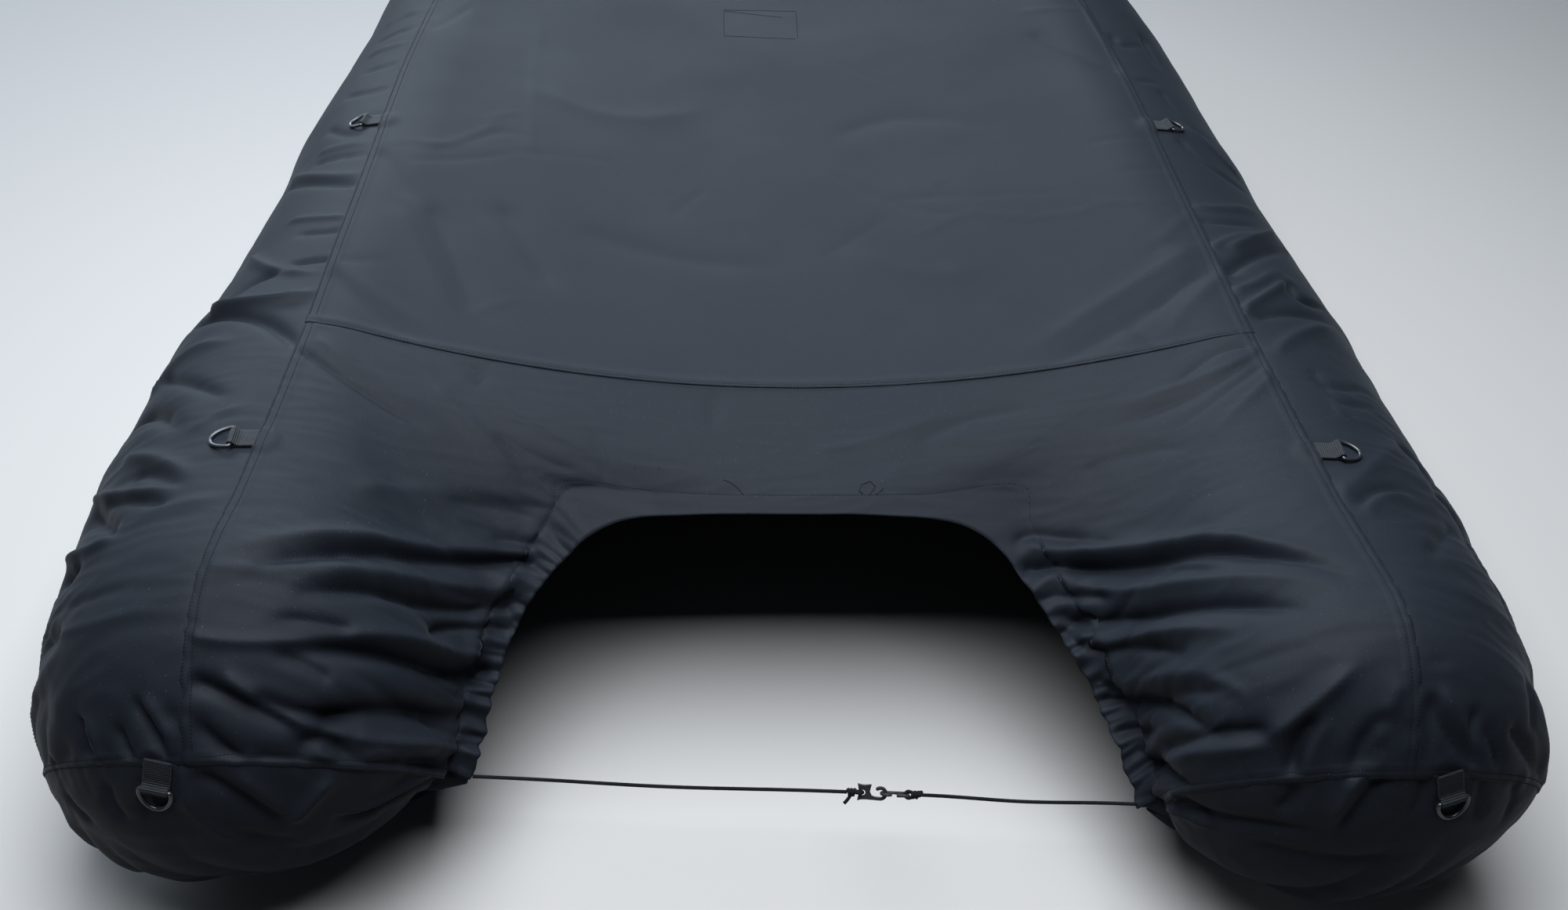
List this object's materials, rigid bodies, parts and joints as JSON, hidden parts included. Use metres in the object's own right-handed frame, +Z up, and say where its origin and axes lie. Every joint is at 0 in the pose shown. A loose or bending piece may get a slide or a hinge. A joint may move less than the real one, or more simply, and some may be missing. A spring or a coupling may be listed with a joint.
{
  "type": "boat cover",
  "caption": "Fitted fabric cover for a small inflatable boat, hung over its tubes, with a motor arch, webbing tabs, D-rings and a hooked draw cord.",
  "frame": {"origin": "on the underside of the top, on the centreline at mid-length, where the cover hangs over the boat's well", "axes": "+Y towards the bow, +X to starboard, +Z up"},
  "size_m": [1.8075, 3.424, 0.4763],
  "materials": {
    "cover_cloth": "coated woven polyester, slight sheen",
    "webbing": "ribbed woven tape",
    "ring_plastic": "satin moulded plastic",
    "hook_plastic": "satin moulded plastic",
    "cord_braid": "braided cord"
  },
  "bodies": {
    "root": {"centre_panel": "cover_cloth", "rear_panel": "cover_cloth", "side_panel_left": "cover_cloth", "side_panel_right": "cover_cloth", "end_cap_left": "cover_cloth", "end_cap_right": "cover_cloth", "tab_left_rear": "webbing", "tab_right_rear": "webbing", "tab_left_front": "webbing", "tab_right_front": "webbing", "tab_left_stern": "webbing", "tab_right_stern": "webbing", "ring_left_rear": "ring_plastic", "ring_right_rear": "ring_plastic", "ring_left_front": "ring_plastic", "ring_right_front": "ring_plastic", "ring_left_stern": "ring_plastic", "ring_right_stern": "ring_plastic", "hook_left": "hook_plastic", "hook_right": "hook_plastic", "knot_left": "cord_braid", "knot_right": "cord_braid", "cord_left": "cord_braid", "cord_right": "cord_braid"}
  },
  "joints": []
}
